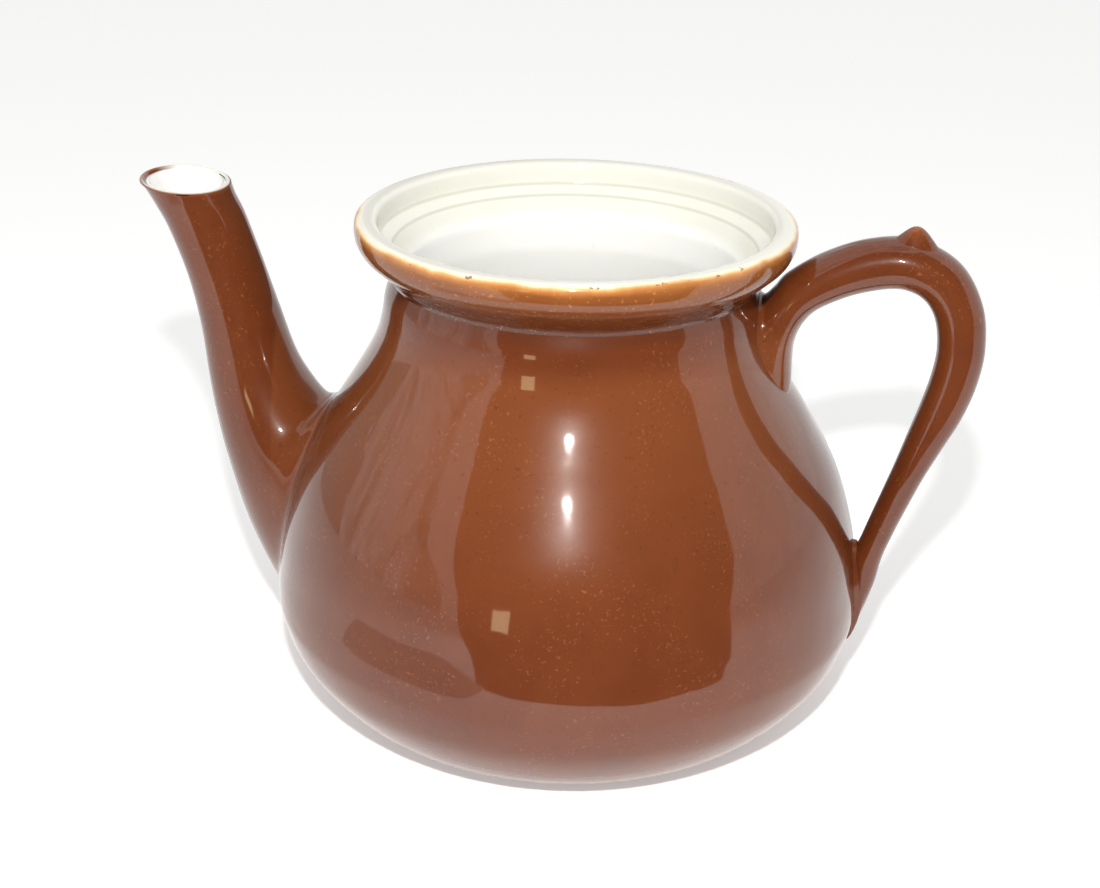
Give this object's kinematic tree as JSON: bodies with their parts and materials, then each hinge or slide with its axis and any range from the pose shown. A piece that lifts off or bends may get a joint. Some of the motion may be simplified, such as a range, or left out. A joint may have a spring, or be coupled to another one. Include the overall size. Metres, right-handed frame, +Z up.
{
  "type": "teapot",
  "caption": "Round-bellied brown-glazed earthenware teapot with a tall upswept spout, a strap handle with a thumb spur and a recessed open mouth for a lid or infuser.",
  "frame": {"origin": "centre of the foot ring on the table plane, on the pot's vertical axis", "axes": "+Z up along the axis of the body and mouth, +X from the axis towards the handle, the spout towards -X"},
  "size_m": [0.2201, 0.156, 0.1382],
  "materials": {
    "brown_glaze": "gloss",
    "rim_glaze": "gloss",
    "white_glaze": "gloss",
    "bare_clay": "matte"
  },
  "bodies": {
    "root": {"foot_ring": "bare_clay", "floor_disc": "bare_clay", "body_wall": "brown_glaze", "strainer_panel": "brown_glaze", "body_lining": "white_glaze", "collar": "rim_glaze", "mouth_seat": "white_glaze", "spout_joint": "brown_glaze", "spout": "brown_glaze", "spout_lining": "white_glaze", "handle_upper_joint": "brown_glaze", "handle_strap": "brown_glaze", "handle_lower_joint": "brown_glaze", "thumb_spur": "brown_glaze"}
  },
  "joints": []
}
